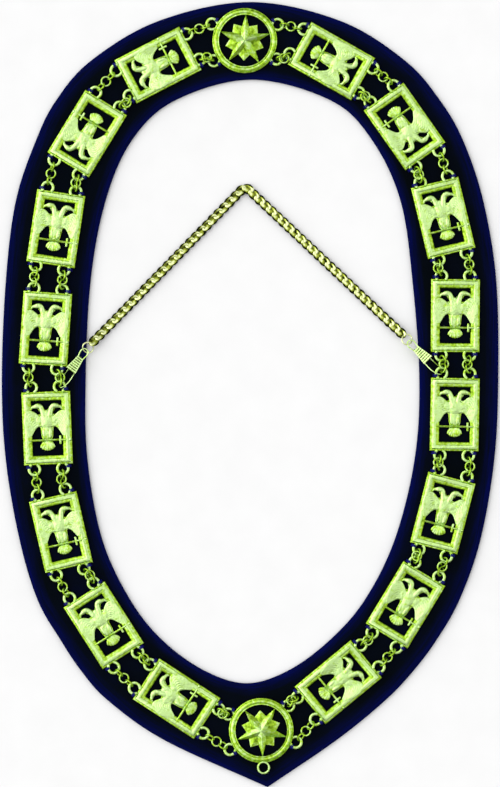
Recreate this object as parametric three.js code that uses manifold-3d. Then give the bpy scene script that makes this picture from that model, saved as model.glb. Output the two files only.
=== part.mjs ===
// A regalia chain collar laid flat on a table: a velvet band, sixteen pierced eagle plaques and two star
// medallions on it, short runs of rings from loop to loop, and a curb chain hooked across the neck.
// Millimetres. +X is to the right of the laid collar, +Y points to the back of the neck, +Z is up.
import * as THREE from "three";
import { mergeVertices } from "three/addons/utils/BufferGeometryUtils.js";
import Module from "manifold-3d";

const wasm = await Module();
wasm.setup();

// Heights of the layers
const GAP = 0.3;
const VELVET_THICK = 3;
const METAL_REST = VELVET_THICK + GAP;

// Plaques: a moulded frame, and the eagle on its sword inside it
const PLAQUE_WIDTH = 35.4;
const PLAQUE_LENGTH = 53;
const FRAME_PROFILE = [
  { inset: 0, height: 0 },
  { inset: 0, height: 3.1 },
  { inset: 3.6, height: 3.1 },
  { inset: 4.6, height: 1.9 },
  { inset: 7, height: 1.5 },
  { inset: 7, height: 0 },
];
const EAGLE_BACK = 0.3;
const EAGLE_THICK = 1.8;
const SWORD_HEIGHT = -8.7;
const SWORD = { length: 29, width: 1.5, back: 0.7, thick: 1.9, shift: 1.8 };
const CROSS_GUARD = { length: 6.6, width: 2, back: 0.9, thick: 2.1, shift: 8.6 };

// Right half of the eagle's outline, from between the necks down to the tail; the frame hides x past 10.7
const EAGLE_HALF = [
  { at: "crown", x: 2.6, y: 16.9 },
  { at: "brow", x: 6, y: 17 },
  { at: "beak", x: 11.4, y: 15.7 },
  { at: "throat", x: 5.4, y: 14 },
  { at: "neck", x: 5, y: 10.3 },
  { at: "wing top", x: 11.4, y: 12.6 },
  { at: "wing tip", x: 11.4, y: -5 },
  { at: "feathers", x: 8, y: -1.2 },
  { at: "armpit", x: 5.2, y: 1.2 },
  { at: "hip", x: 3.8, y: -9.6 },
  { at: "tail side", x: 5.6, y: -13.2 },
  { at: "tail end", x: 3, y: -15.6 },
];
const NECK_NOTCH = 13.2;

// Loops cast onto the plaques and the medallions, of flattened wire; those of the medallions lie lower, and the
// plaques from the fifth on have theirs further out
const LOOP_RADIUS = 4;
const LOOP_SECTION = { thick: 1.4, wide: 2.2 };
const LOOP_OUT = { near: 1.9, far: 3 };
const FAR_LOOPS_FROM = 5;
const LOOP_ROOT = 0.9;
const LOOP_ACROSS = 10.2;
const LOOP_HEIGHT = { plaque: 2.35, medallion: 0.8 };
const WIRE_SIDES = 5;
const RING_SIDES = 10;

// Medallions: a moulded ring with a long star over a short one, and a loop for a jewel on the front one
const MEDALLION_RADIUS = 23.4;
const MEDALLION_SIDES = 20;
const MEDALLION_PROFILE = [
  { inset: 0, height: 0 },
  { inset: 0, height: 1.8 },
  { inset: 1.8, height: 3 },
  { inset: 3.4, height: 2.2 },
  { inset: 5.2, height: 2.4 },
  { inset: 5.2, height: 0 },
];
const LONG_STAR = { tips: 19, valleys: 7, back: 0.9, rise: 2.9, turn: 90 };
const SHORT_STAR = { tips: 14.2, valleys: 9.4, back: 0.5, rise: 1.7, turn: 54 };
const STAR_POINTS = 5;
const JEWEL_LOOP_RADIUS = 4;
const JEWEL_LOOP_WIRE = 1.6;
const JEWEL_LOOP_OUT = 3.4;
const JEWEL_LOOP_HEIGHT = 1.6;

// Runs of small rings, each a plain round stretch over the two loops that it ties
const RING_RUN_DIAMETER = 3.2;
const RING_RUN_SIDES = 8;

// Curb chain: a flattened round stretch as wide and high as its links, laid in a V, and its oval end rings
const CHAIN_WIDTH = 7.4;
const CHAIN_HEIGHT = 3.6;
const CHAIN_APEX = { x: -3.4, y: 149.8 };
const CHAIN_SIDES = 8;
const CHAIN_STEPS = 26;
const APEX_ROUND = 7;
const CLIMB_RUN = 15;
const CLIMB_TOP = 5;
const END_RING = { span: 5.4, bite: 2, width: 10.4, wire: 1, tilt: 36 };

// Hooks: measured from the tip of the wire eye, along the line to the loop that the bail goes through
const HOOK_REACH = 33;
const EYE_HEIGHT = 5.6;
const EYE_WIRE = 0.9;
const EYE_STEPS = 10;
const EYE = [
  { at: "root", x: 1.7, y: 8.4 },
  { at: "shoulder", x: 2.3, y: 6.2 },
  { at: "side", x: 2.8, y: 3 },
  { at: "corner", x: 2, y: 0.7 },
];
const SLEEVE = { from: 7.6, to: 20, narrow: 4.8, wide: 8, thick: 2.4, back: 4.2 };
const SLEEVE_RIBS = 4;
const RIB = { proud: 0.35, thick: 1.1 };
const BAIL_WIRE = 0.8;
const BAIL_STEPS = 12;
const BAIL_ROOT = { upper: 3.1, lower: -2.1, y: 18.4 };
const BAIL = [
  { at: "upper leg", x: 3.5, y: 26.5, z: 7.5 },
  { at: "over the loop", x: 2.7, y: 30.2, z: 7.2 },
  { at: "into the loop", x: 1.1, y: 33, z: 5.5 },
  { at: "turn", x: -1, y: 32.8, z: 4.1 },
  { at: "under the loop", x: -2.3, y: 29.4, z: 3.75 },
  { at: "lower leg", x: -2.2, y: 24.5, z: 4.6 },
];

// Edges of the laid band: x of each edge at a height on the table; the ends have no inner edge
const BAND_ROWS = [
  { y: 269.6, outerLeft: -65.9, outerRight: 65.2 },
  { y: 240.8, outerLeft: -114.8, outerRight: 112 },
  { y: 212, outerLeft: -140, innerLeft: -54.4, innerRight: 58.7, outerRight: 137.2 },
  { y: 183.2, outerLeft: -154.4, innerLeft: -85.3, innerRight: 88.2, outerRight: 153.7 },
  { y: 140, outerLeft: -168.8, innerLeft: -104, innerRight: 108.4, outerRight: 168.1 },
  { y: 82.4, outerLeft: -176, innerLeft: -114.8, innerRight: 117, outerRight: 177.5 },
  { y: 10.4, outerLeft: -178.9, innerLeft: -118.4, innerRight: 122, outerRight: 178.9 },
  { y: -47.2, outerLeft: -176, innerLeft: -117, innerRight: 118.4, outerRight: 176 },
  { y: -104.8, outerLeft: -166, innerLeft: -106.2, innerRight: 104, outerRight: 166 },
  { y: -148, outerLeft: -153, innerLeft: -86, innerRight: 82.4, outerRight: 150.8 },
  { y: -176.8, outerLeft: -136.4, innerLeft: -63, innerRight: 57.2, outerRight: 134.3 },
  { y: -198.4, outerLeft: -122, innerLeft: -33.1, innerRight: 27.7, outerRight: 118.1 },
  { y: -220, outerLeft: -102.6, outerRight: 97.6 },
  { y: -248.8, outerLeft: -61.6, outerRight: 62.3 },
];
const BAND_TOP = { outer: [0.4, 283.2], inner: [1.1, 227.2] };
const BAND_BOTTOM = { outer: [12.6, -282.6], inner: [-2.5, -207.7] };
const BAND_STEPS = { outer: 46, inner: 38 };

// Plaques from the back of the neck down each side; turn is that of the end nearer the back
const PLAQUES = [
  { side: "left", place: 1, x: -66.2, y: 237.4, turn: -62.6, heads: "forward" },
  { side: "left", place: 2, x: -117.2, y: 188, turn: -31.4, heads: "forward" },
  { side: "left", place: 3, x: -139.7, y: 119.7, turn: -8.6, heads: "back" },
  { side: "left", place: 4, x: -147.2, y: 47.7, turn: -3.9, heads: "back" },
  { side: "left", place: 5, x: -146, y: -23.8, turn: 2.3, heads: "back" },
  { side: "left", place: 6, x: -136.1, y: -98.6, turn: 13, heads: "back" },
  { side: "left", place: 7, x: -105.3, y: -165.7, turn: 32.5, heads: "back" },
  { side: "left", place: 8, x: -52.8, y: -218.5, turn: 56.9, heads: "back" },
  { side: "right", place: 1, x: 58.5, y: 240.2, turn: 60.5, heads: "forward" },
  { side: "right", place: 2, x: 111.2, y: 193.2, turn: 35, heads: "forward" },
  { side: "right", place: 3, x: 139, y: 127.4, turn: 13.6, heads: "back" },
  { side: "right", place: 4, x: 147.7, y: 57.1, turn: -0.4, heads: "back" },
  { side: "right", place: 5, x: 147.3, y: -14, turn: -1.1, heads: "back" },
  { side: "right", place: 6, x: 138.7, y: -84.9, turn: -14.5, heads: "back" },
  { side: "right", place: 7, x: 111.9, y: -150.9, turn: -31.2, heads: "back" },
  { side: "right", place: 8, x: 63.4, y: -206.6, turn: -50.4, heads: "back" },
];

// Medallions, and the ways of their four loops on the table
const BACK_LOOPS = { left: { outer: 153, inner: 213 }, right: { outer: 26, inner: -30 } };
const FRONT_LOOPS = { left: { outer: 211.5, inner: 154 }, right: { outer: -19, inner: 42 } };
const BACK_MEDALLION = { x: -3.8, y: 255, turn: 2, loops: BACK_LOOPS };
const FRONT_MEDALLION = { x: 8.1, y: -241.3, turn: 183.5, loops: FRONT_LOOPS };

// The hooks take the inner loop at the back end of these plaques: the way from eye to loop, the way from
// eye to chain, and how far the sleeve's wide end is lifted
const HOOKS = [
  { side: "left", place: 5, heading: 234, chainHeading: 50, rise: 3.9 },
  { side: "right", place: 5, heading: 316, chainHeading: 128, rise: 1.6 },
];

const { degToRad } = THREE.MathUtils;
const OUTWARD = { left: -1, right: 1 };

// Finishes
const GILT = { color: 0xb9cf62, roughness: 0.32, metalness: 1 };
const CHAIN_GILT = { color: 0xa9b25a, roughness: 0.38, metalness: 1 };
const VELVET = { color: 0x0a1028, roughness: 0.95, metalness: 0 };

// Joining closed shapes into one solid

function solidOf(geometry) {
  const bare = geometry.clone();
  bare.deleteAttribute("normal");
  bare.deleteAttribute("uv");
  const merged = mergeVertices(bare);
  const vertProperties = merged.attributes.position.array;
  const triVerts = new Uint32Array(merged.index.array);
  return new wasm.Manifold(new wasm.Mesh({ numProp: 3, vertProperties, triVerts }));
}

function fuse(geometries) {
  const whole = geometries.map(solidOf).reduce((sum, piece) => sum.add(piece));
  const { vertProperties, triVerts } = whole.getMesh();
  const geometry = new THREE.BufferGeometry();
  geometry.setAttribute("position", new THREE.BufferAttribute(vertProperties, 3));
  geometry.setIndex(new THREE.BufferAttribute(triVerts, 1));
  geometry.computeVertexNormals();
  return geometry;
}

// Wire, rings and links

class Arc extends THREE.Curve {
  constructor(radius, from, to) {
    super();
    this.radius = radius;
    this.from = from;
    this.to = to;
  }

  getPoint(t, target = new THREE.Vector3()) {
    const angle = this.from + t * (this.to - this.from);
    return target.set(this.radius * Math.cos(angle), this.radius * Math.sin(angle), 0);
  }
}

// A round or oval stretch along a path that lies flat: its section is given as height and width
function wireAlong(path, steps, [height, width], sides) {
  const corners = [];
  for (let i = 0; i < sides; i++) {
    const angle = (2 * Math.PI * i) / sides;
    corners.push(new THREE.Vector2((Math.cos(angle) * height) / 2, (Math.sin(angle) * width) / 2));
  }
  return new THREE.ExtrudeGeometry(new THREE.Shape(corners), { steps, extrudePath: path });
}

// A closed oval ring in the XY plane, long along X: half its length and width to the middle of the wire
function link(halfLength, halfWidth, wire) {
  const geometry = new THREE.TorusGeometry(1, wire / 2, WIRE_SIDES, RING_SIDES);
  const spots = geometry.attributes.position;
  for (let i = 0; i < spots.count; i++) {
    const angle = Math.atan2(spots.getY(i), spots.getX(i));
    const outward = Math.hypot(spots.getX(i), spots.getY(i)) - 1;
    const facing = new THREE.Vector2(Math.cos(angle) * halfWidth, Math.sin(angle) * halfLength).normalize();
    const x = halfLength * Math.cos(angle) + outward * facing.x;
    const y = halfWidth * Math.sin(angle) + outward * facing.y;
    spots.setXY(i, x, y);
  }
  return geometry;
}

// A cast loop that grows from an edge at y = 0 towards +Y
function castLoop(radius, out, section) {
  const root = Math.asin(out / radius) + LOOP_ROOT / radius;
  const steps = Math.round((RING_SIDES * (Math.PI + 2 * root)) / (2 * Math.PI));
  return wireAlong(new Arc(radius, -root, Math.PI + root), steps, section, WIRE_SIDES).translate(0, out, 0);
}

// Velvet band

function bandEdge(points, closed, steps) {
  const spots = points.map(([x, y]) => new THREE.Vector3(x, y, 0));
  const edge = new THREE.CatmullRomCurve3(spots, closed).getSpacedPoints(steps);
  return edge.slice(0, steps).map(({ x, y }) => new THREE.Vector2(x, y));
}

function velvetBand() {
  const upward = [...BAND_ROWS].reverse();
  const inner = BAND_ROWS.filter((row) => row.innerLeft !== undefined);
  const outerPoints = [
    BAND_BOTTOM.outer,
    ...upward.map((row) => [row.outerRight, row.y]),
    BAND_TOP.outer,
    ...BAND_ROWS.map((row) => [row.outerLeft, row.y]),
    BAND_BOTTOM.outer,
  ];
  const innerPoints = [
    BAND_TOP.inner,
    ...inner.map((row) => [row.innerLeft, row.y]),
    BAND_BOTTOM.inner,
    ...[...inner].reverse().map((row) => [row.innerRight, row.y]),
  ];
  const shape = new THREE.Shape(bandEdge(outerPoints, false, BAND_STEPS.outer));
  shape.holes.push(new THREE.Path(bandEdge(innerPoints, true, BAND_STEPS.inner)));
  return new THREE.ExtrudeGeometry(shape, { depth: VELVET_THICK, bevelEnabled: false });
}

// Plaques

function mouldedFrame() {
  const profile = FRAME_PROFILE.map(
    ({ inset, height }) => new THREE.Vector2(Math.SQRT2 * (PLAQUE_WIDTH / 2 - inset), height),
  );
  profile.push(profile[0].clone());
  const frame = new THREE.LatheGeometry(profile, 4, Math.PI / 4);
  frame.rotateX(Math.PI / 2);
  const spots = frame.attributes.position;
  for (let i = 0; i < spots.count; i++) {
    const y = spots.getY(i);
    spots.setY(i, y + (Math.sign(y) * (PLAQUE_LENGTH - PLAQUE_WIDTH)) / 2);
  }
  return frame;
}

function eagle() {
  const right = EAGLE_HALF.map(({ x, y }) => new THREE.Vector2(x, y));
  const left = [...EAGLE_HALF].reverse().map(({ x, y }) => new THREE.Vector2(-x, y));
  const outline = new THREE.Shape([new THREE.Vector2(0, NECK_NOTCH), ...right, ...left]);
  const body = new THREE.ExtrudeGeometry(outline, { depth: EAGLE_THICK, bevelEnabled: false });
  return body.translate(0, 0, EAGLE_BACK);
}

function sword() {
  const blade = new THREE.BoxGeometry(SWORD.length, SWORD.width, SWORD.thick);
  blade.translate(SWORD.shift, SWORD_HEIGHT, SWORD.back + SWORD.thick / 2);
  const guard = new THREE.BoxGeometry(CROSS_GUARD.width, CROSS_GUARD.length, CROSS_GUARD.thick);
  guard.translate(CROSS_GUARD.shift, SWORD_HEIGHT, CROSS_GUARD.back + CROSS_GUARD.thick / 2);
  return [blade, guard];
}

function plaqueGeometry(loopOut) {
  const pieces = [mouldedFrame(), eagle(), ...sword()];
  for (const end of [0, Math.PI]) {
    for (const across of [-LOOP_ACROSS, LOOP_ACROSS]) {
      const loop = castLoop(LOOP_RADIUS, loopOut, [LOOP_SECTION.thick, LOOP_SECTION.wide]);
      loop.translate(across, PLAQUE_LENGTH / 2, LOOP_HEIGHT.plaque).rotateZ(end);
      pieces.push(loop);
    }
  }
  return fuse(pieces);
}

// Medallions

function star({ tips, valleys, back, rise, turn }) {
  const corners = 2 * STAR_POINTS;
  const geometry = new THREE.ConeGeometry(1, rise, corners).rotateX(Math.PI / 2).translate(0, 0, rise / 2 + back);
  const spots = geometry.attributes.position;
  for (let i = 0; i < spots.count; i++) {
    const reach = Math.hypot(spots.getX(i), spots.getY(i));
    const corner = Math.round((Math.atan2(spots.getY(i), spots.getX(i)) * corners) / (2 * Math.PI) + corners);
    const radius = reach * (corner % 2 ? valleys : tips);
    const angle = (corner * 2 * Math.PI) / corners + degToRad(turn);
    spots.setXY(i, radius * Math.cos(angle), radius * Math.sin(angle));
  }
  return geometry;
}

function medallionGeometry({ turn, loops }, hasJewelLoop) {
  const profile = MEDALLION_PROFILE.map(
    ({ inset, height }) => new THREE.Vector2(MEDALLION_RADIUS - inset, height),
  );
  profile.push(profile[0].clone());
  const ring = new THREE.LatheGeometry(profile, MEDALLION_SIDES).rotateX(Math.PI / 2);
  const pieces = [ring, star(LONG_STAR), star(SHORT_STAR)];
  for (const way of [loops.left.outer, loops.left.inner, loops.right.outer, loops.right.inner]) {
    const loop = castLoop(LOOP_RADIUS, LOOP_OUT.far, [LOOP_SECTION.thick, LOOP_SECTION.wide]);
    loop.translate(0, MEDALLION_RADIUS, LOOP_HEIGHT.medallion).rotateZ(degToRad(way - turn - 90));
    pieces.push(loop);
  }
  if (hasJewelLoop) {
    const loop = castLoop(JEWEL_LOOP_RADIUS, JEWEL_LOOP_OUT, [JEWEL_LOOP_WIRE, JEWEL_LOOP_WIRE]);
    pieces.push(loop.translate(0, MEDALLION_RADIUS, JEWEL_LOOP_HEIGHT));
  }
  return fuse(pieces);
}

// Where a loop's middle lies on the table

function placed(unit, x, y) {
  const spot = new THREE.Vector2(x, y).rotateAround(new THREE.Vector2(), degToRad(unit.turn));
  return spot.add(new THREE.Vector2(unit.x, unit.y));
}

function onTable(length, heading) {
  return new THREE.Vector2(length, 0).rotateAround(new THREE.Vector2(), degToRad(heading));
}

function loopOut(place) {
  return place < FAR_LOOPS_FROM ? LOOP_OUT.near : LOOP_OUT.far;
}

function plaqueLoop(plaque, end, edge) {
  const across = OUTWARD[plaque.side] * (edge === "outer" ? LOOP_ACROSS : -LOOP_ACROSS);
  const along = PLAQUE_LENGTH / 2 + loopOut(plaque.place);
  return placed(plaque, across, end === "back" ? along : -along);
}

function medallionLoop(medallion, side, edge) {
  const reach = onTable(MEDALLION_RADIUS + LOOP_OUT.far, medallion.loops[side][edge]);
  return reach.add(new THREE.Vector2(medallion.x, medallion.y));
}

// Runs of rings: each gap of a side has an outer and an inner run

function loopPairs(side, edge) {
  const plaques = PLAQUES.filter((plaque) => plaque.side === side);
  const pairs = [[medallionLoop(BACK_MEDALLION, side, edge), plaqueLoop(plaques[0], "back", edge)]];
  for (let i = 1; i < plaques.length; i++) {
    pairs.push([plaqueLoop(plaques[i - 1], "front", edge), plaqueLoop(plaques[i], "back", edge)]);
  }
  pairs.push([plaqueLoop(plaques.at(-1), "front", edge), medallionLoop(FRONT_MEDALLION, side, edge)]);
  return pairs;
}

function ringRun([from, to]) {
  const loopTop = METAL_REST + LOOP_HEIGHT.plaque + LOOP_SECTION.thick / 2;
  const height = loopTop + GAP + RING_RUN_DIAMETER / 2;
  const path = new THREE.LineCurve3(
    new THREE.Vector3(from.x, from.y, height),
    new THREE.Vector3(to.x, to.y, height),
  );
  return wireAlong(path, 1, [RING_RUN_DIAMETER, RING_RUN_DIAMETER], RING_RUN_SIDES);
}

// Curb chain

function hookEye({ side, place, heading }) {
  const plaque = PLAQUES.find((row) => row.side === side && row.place === place);
  return plaqueLoop(plaque, "back", "inner").sub(onTable(HOOK_REACH, heading));
}

function endRing(hook) {
  const halfLength = (END_RING.span + END_RING.bite) / 2;
  const ring = link(halfLength, (END_RING.width - END_RING.wire) / 2, END_RING.wire);
  const middle = hookEye(hook).add(onTable(END_RING.span - halfLength, hook.chainHeading));
  ring.rotateX(degToRad(END_RING.tilt)).rotateZ(degToRad(hook.chainHeading));
  return ring.translate(middle.x, middle.y, EYE_HEIGHT);
}

// The V runs from one end ring over the apex to the other, and its two ends climb onto the band
function chainRoute() {
  const apex = new THREE.Vector3(CHAIN_APEX.x, CHAIN_APEX.y, CHAIN_HEIGHT / 2);
  const [left, right] = HOOKS.map((hook) => {
    const { x, y } = hookEye(hook).add(onTable(END_RING.span, hook.chainHeading));
    const arm = new THREE.Vector3(x, y, apex.z).sub(apex);
    const spot = (reach) => arm.clone().setLength(reach).add(apex);
    const end = new THREE.Vector3(x, y, CLIMB_TOP);
    return { end, foot: spot(arm.length() - CLIMB_RUN), bend: spot(APEX_ROUND) };
  });
  const route = new THREE.CurvePath();
  route.add(new THREE.LineCurve3(left.end, left.foot));
  route.add(new THREE.LineCurve3(left.foot, left.bend));
  route.add(new THREE.QuadraticBezierCurve3(left.bend, apex, right.bend));
  route.add(new THREE.LineCurve3(right.bend, right.foot));
  route.add(new THREE.LineCurve3(right.foot, right.end));
  return route;
}

function curbChain() {
  const strand = wireAlong(chainRoute(), CHAIN_STEPS, [CHAIN_HEIGHT, CHAIN_WIDTH], CHAIN_SIDES);
  return fuse([strand, ...HOOKS.map(endRing)]);
}

// Hooks

function sleeveTilt(rise) {
  return Math.atan2(rise, SLEEVE.to - SLEEVE.from);
}

function sleeve(rise) {
  const { from, to, narrow, wide, thick, back } = SLEEVE;
  const corner = (x, y) => new THREE.Vector2(x, y);
  const plan = [corner(-narrow / 2, from), corner(narrow / 2, from), corner(wide / 2, to), corner(-wide / 2, to)];
  const block = new THREE.ExtrudeGeometry(new THREE.Shape(plan), { depth: thick, bevelEnabled: false });
  const pieces = [block];
  for (let i = 0; i < SLEEVE_RIBS; i++) {
    const share = (i + 0.5) / SLEEVE_RIBS;
    const width = narrow + share * (wide - narrow) + 2 * RIB.proud;
    const rib = new THREE.BoxGeometry(width, RIB.thick, thick + 2 * RIB.proud);
    pieces.push(rib.translate(0, from + share * (to - from), thick / 2));
  }
  const tilt = sleeveTilt(rise);
  return pieces.map((piece) => piece.translate(0, -from, 0).rotateX(tilt).translate(0, from, back));
}

function bail(side, rise) {
  const rootHeight = SLEEVE.back + SLEEVE.thick / 2 + (BAIL_ROOT.y - SLEEVE.from) * Math.tan(sleeveTilt(rise));
  const points = [
    { x: BAIL_ROOT.upper, y: BAIL_ROOT.y, z: rootHeight },
    ...BAIL,
    { x: BAIL_ROOT.lower, y: BAIL_ROOT.y, z: rootHeight },
  ];
  const route = points.map(({ x, y, z }) => new THREE.Vector3(OUTWARD[side] * x, y, z));
  return wireAlong(new THREE.CatmullRomCurve3(route), BAIL_STEPS, [BAIL_WIRE, BAIL_WIRE], WIRE_SIDES);
}

function wireEye() {
  const right = EYE.map(({ x, y }) => new THREE.Vector3(x, y, EYE_HEIGHT));
  const left = [...EYE].reverse().map(({ x, y }) => new THREE.Vector3(-x, y, EYE_HEIGHT));
  const route = new THREE.CatmullRomCurve3([...right, new THREE.Vector3(0, 0, EYE_HEIGHT), ...left]);
  return wireAlong(route, EYE_STEPS, [EYE_WIRE, EYE_WIRE], WIRE_SIDES);
}

function hookGeometry({ side, rise }) {
  return fuse([wireEye(), ...sleeve(rise), bail(side, rise)]);
}

// The whole collar

const collar = new THREE.Group();

function add(name, geometry, finish) {
  const mesh = new THREE.Mesh(geometry, new THREE.MeshStandardMaterial(finish));
  mesh.name = name;
  collar.add(mesh);
  return mesh;
}

add("velvet_band", velvetBand(), VELVET);

const plaqueShapes = { near: plaqueGeometry(LOOP_OUT.near), far: plaqueGeometry(LOOP_OUT.far) };
for (const { side, place, x, y, turn, heads } of PLAQUES) {
  const shape = place < FAR_LOOPS_FROM ? plaqueShapes.near : plaqueShapes.far;
  const plaque = add(`eagle_plaque_${side}_${place}`, shape, GILT);
  plaque.position.set(x, y, METAL_REST);
  plaque.rotation.z = degToRad(heads === "back" ? turn : turn + 180);
}

const medallions = [
  { name: "star_medallion_back", at: BACK_MEDALLION, hasJewelLoop: false },
  { name: "star_medallion_front", at: FRONT_MEDALLION, hasJewelLoop: true },
];
for (const { name, at, hasJewelLoop } of medallions) {
  const medallion = add(name, medallionGeometry(at, hasJewelLoop), GILT);
  medallion.position.set(at.x, at.y, METAL_REST);
  medallion.rotation.z = degToRad(at.turn);
}

for (const side of ["left", "right"]) {
  for (const edge of ["outer", "inner"]) {
    loopPairs(side, edge).forEach((pair, i) => add(`ring_run_${side}_${i + 1}_${edge}`, ringRun(pair), GILT));
  }
}

add("curb_chain", curbChain(), CHAIN_GILT);

for (const hook of HOOKS) {
  const mesh = add(`chain_hook_${hook.side}`, hookGeometry(hook), GILT);
  const eye = hookEye(hook);
  mesh.position.set(eye.x, eye.y, 0);
  mesh.rotation.z = degToRad(hook.heading - 90);
}

export default collar;
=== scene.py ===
"""A regalia chain collar laid flat on a pale table, seen from straight above.

Pieces are modelled in millimetres at the origin and then laid in their place in metres.
"""

import math

import bmesh
import bpy
from mathutils import Matrix, Vector


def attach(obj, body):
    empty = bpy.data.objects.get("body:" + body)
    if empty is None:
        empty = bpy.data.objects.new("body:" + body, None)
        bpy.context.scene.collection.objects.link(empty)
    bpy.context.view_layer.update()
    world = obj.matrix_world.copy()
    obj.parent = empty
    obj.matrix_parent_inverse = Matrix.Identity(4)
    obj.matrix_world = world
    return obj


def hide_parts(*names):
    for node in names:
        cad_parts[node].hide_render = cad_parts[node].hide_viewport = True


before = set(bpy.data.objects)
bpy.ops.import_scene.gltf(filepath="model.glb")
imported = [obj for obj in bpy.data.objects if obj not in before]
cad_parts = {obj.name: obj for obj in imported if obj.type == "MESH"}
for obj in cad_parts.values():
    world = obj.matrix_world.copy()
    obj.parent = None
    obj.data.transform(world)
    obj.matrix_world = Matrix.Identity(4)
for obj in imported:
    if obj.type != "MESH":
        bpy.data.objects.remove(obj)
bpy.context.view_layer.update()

# Units and layers
MM = 0.001
VELVET_THICK = 3
METAL_REST = 3.3
NEAR = 0.01

# Plaques: a moulded frame as insets and heights, and the flattened loops cast onto its ends
PLAQUE_WIDTH = 35.4
PLAQUE_LENGTH = 53
FRAME_PROFILE = (
    (0, 0), (0, 1.3), (0.25, 1.75), (0.6, 2.0), (1.0, 2.15), (1.25, 2.1), (1.6, 2.5),
    (2.2, 2.9), (3.0, 3.1), (3.8, 2.95), (4.3, 2.6), (4.6, 2.25), (4.85, 2.2), (5.3, 2.15),
    (5.8, 1.95), (6.4, 1.6), (6.7, 1.25), (6.85, 0.9), (6.85, 0),
)
LOOP_RADIUS = 4
LOOP_WIDE = 2.2
LOOP_THICK = 1.4
LOOP_OUT = {"near": 1.9, "far": 3}
FAR_LOOPS_FROM = 5
LOOP_ACROSS = 10.2
LOOP_ROOT = 0.9
LOOP_STEPS = 14
LOOP_HEIGHT = {"plaque": 2.35, "medallion": 0.8}

# Right half of the eagle's plate, from between the necks down to the tail
EAGLE_NOTCH = (0, 12.7)
EAGLE_TAIL_END = (0, -16.3)
EAGLE_HALF = (
    (0.9, 13.4), (1.8, 15.0), (3.0, 16.4), (4.6, 17.2), (6.4, 17.5), (8.2, 17.1), (10.0, 16.5),
    (11.6, 15.6), (11.3, 14.3), (10.0, 15.1), (8.4, 15.1), (6.9, 14.5), (5.6, 13.1), (4.7, 11.3),
    (4.6, 10.2), (5.5, 9.8), (7.0, 10.3), (8.8, 11.4), (10.2, 12.5), (11.6, 13.0), (11.6, -5.6),
    (10.8, -5.0), (9.7, -2.7), (8.4, -0.8), (7.0, 0.5), (5.6, 1.0), (4.7, 0.4), (4.4, -2.0),
    (4.2, -5.4), (3.4, -8.4), (3.9, -10.6), (4.9, -13.0), (4.7, -14.3), (3.3, -15.5), (1.7, -16.1),
)
EAGLE_LOW = 0.3
EAGLE_HIGH = 1.35
EAGLE_BEVEL = 0.3

# Heights between which the gilding goes from deep to pale: partly real wear and patina, partly painted
# highlight on the tops and painted shade in the hollows; links also take painted shade towards their
# sides
FRAME_WEAR_AND_SHADING = (1.0, 3.0)
EAGLE_WEAR_AND_SHADING = (-0.2, 2.6)
SWORD_WEAR_AND_SHADING = (0.6, 3.6)
RIM_WEAR_AND_SHADING = (1.2, 3.3)
# The short star runs the other way round: deep towards its middle, as painted shade beside the long
# star's points
STAR_WEAR_AND_SHADING = {"long": (-0.4, 3.4), "short": (3.4, 0.2)}
RING_WEAR_AND_SHADING = {"top": (-0.9, 1.4), "end": (-1.5, 3.2)}
LOOP_WEAR_AND_SHADING = (-0.7, 0.9)
HOOK_WEAR_AND_SHADING = (4.0, 6.4)
END_RING_WEAR_AND_SHADING = (-1.5, -0.4)
# Links: painted shade on their undersides and towards their sides, painted highlight on their ground
# tops
LINK_WEAR_AND_SHADE = (-0.3, 0.9, (1.8, 3.0))
DEEPEST_SHADE = -0.6

# One wing: points of its first and last feather from shoulder to tip; the others lie between them
FIRST_FEATHER = (
    (3.4, 6.4), (5.8, 7.8), (8.8, 10.8), (13.0, 12.8), (15.8, 7.0), (15.2, 0.0), (12.8, -5.6),
)
LAST_FEATHER = (
    (3.4, 1.8), (4.8, 2.4), (6.4, 2.3), (8.2, 1.2), (9.6, -0.6), (10.6, -2.8), (11.4, -5.2),
)
FEATHERS = 8
FEATHER_WIDE = 2.5
FEATHER_THICK = 1.0
FEATHER_SIZES = (0.8, 0.95, 1.05, 1.1, 1.05, 0.85, 0.4)
WING_LOW = 1.9
WING_OVER_FRAME = {"from": 9, "to": 14.5, "rise": 1.05, "under": 12.5, "clear": 7}

# Tail feathers fan out from behind the sword, and the toes of both feet close on its blade
TAIL_TIPS = (
    (-5.0, -14.2), (-3.5, -15.5), (-1.8, -16.2), (0, -16.5), (1.8, -16.2), (3.5, -15.5), (5.0, -14.2),
)
TAIL = {"gather": 0.3, "root": -8.8, "wide": 3.0, "thick": 0.75, "lifts": (1.45, 1.5)}
LEAF = {"root": 0.55, "swell": 0.9, "taper": 0.35, "ridge": 0.28, "ridge_half": 0.02, "ridge_from": 0.1}
TOES = {"x": 2.3, "spread": (-0.9, 0, 0.9), "under": 1.2, "lift": 1.75, "size": (0.85, 2.5, 1.9)}

# Sword: a blade, a guard across it and a grip, all on one line
SWORD_LINE = -8.7
BLADE = {"length": 22, "half_wide": 0.65, "half_thick": 0.45, "x": -2.4, "z": 2.1}
GUARD = {"size": (1.5, 6.4, 1.5), "bevel": 0.45, "x": 9.3, "z": 2.05}
GRIP = {"x": (9, 11, 13, 15, 16), "z": 2.3, "wire": 1.5}

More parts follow.
